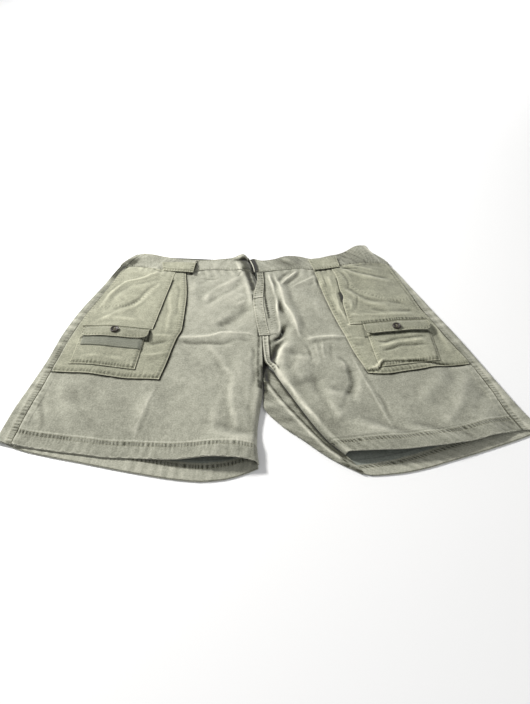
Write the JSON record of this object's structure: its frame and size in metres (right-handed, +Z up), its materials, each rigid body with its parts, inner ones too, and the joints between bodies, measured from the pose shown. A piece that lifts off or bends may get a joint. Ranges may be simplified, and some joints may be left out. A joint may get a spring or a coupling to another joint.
{
  "type": "cargo shorts",
  "caption": "Loose cotton cargo shorts laid flat, front up, with wide belt tunnels, hand pockets, and buttoned flap pockets on both thighs.",
  "frame": {"origin": "middle of the bottom face of the bounding box, on the surface that the shorts lie on", "axes": "+X to the right as seen from above with the waist at the top, +Y from the hems to the waist, +Z up out of the front of the garment"},
  "size_m": [0.801, 0.5529, 0.0288],
  "materials": {
    "twill": "washed sage cotton twill, matte, paler along folds and darker in the puckered seams",
    "pocket_twill": "the same washed twill, slightly yellower green, matte",
    "tape": "plain grey woven band, matte",
    "button": "dark brown, satin, with a raised rim and four holes"
  },
  "bodies": {
    "root": {"back_l": "twill", "back_r": "twill", "belt_tunnel_l": "pocket_twill", "belt_tunnel_r": "pocket_twill", "button_l": "button", "button_r": "button", "cargo_panel_l": "pocket_twill", "cargo_panel_r": "pocket_twill", "cargo_pocket_l": "pocket_twill", "cargo_pocket_r": "pocket_twill", "flap_l": "pocket_twill", "flap_r": "pocket_twill", "fly_placket": "twill", "front_l": "twill", "front_r": "twill", "hip_panel_l": "pocket_twill", "hip_panel_r": "pocket_twill", "pocket_tape_l": "tape", "waistband_back": "twill", "waistband_front_l": "twill", "waistband_front_r": "twill"}
  },
  "joints": []
}
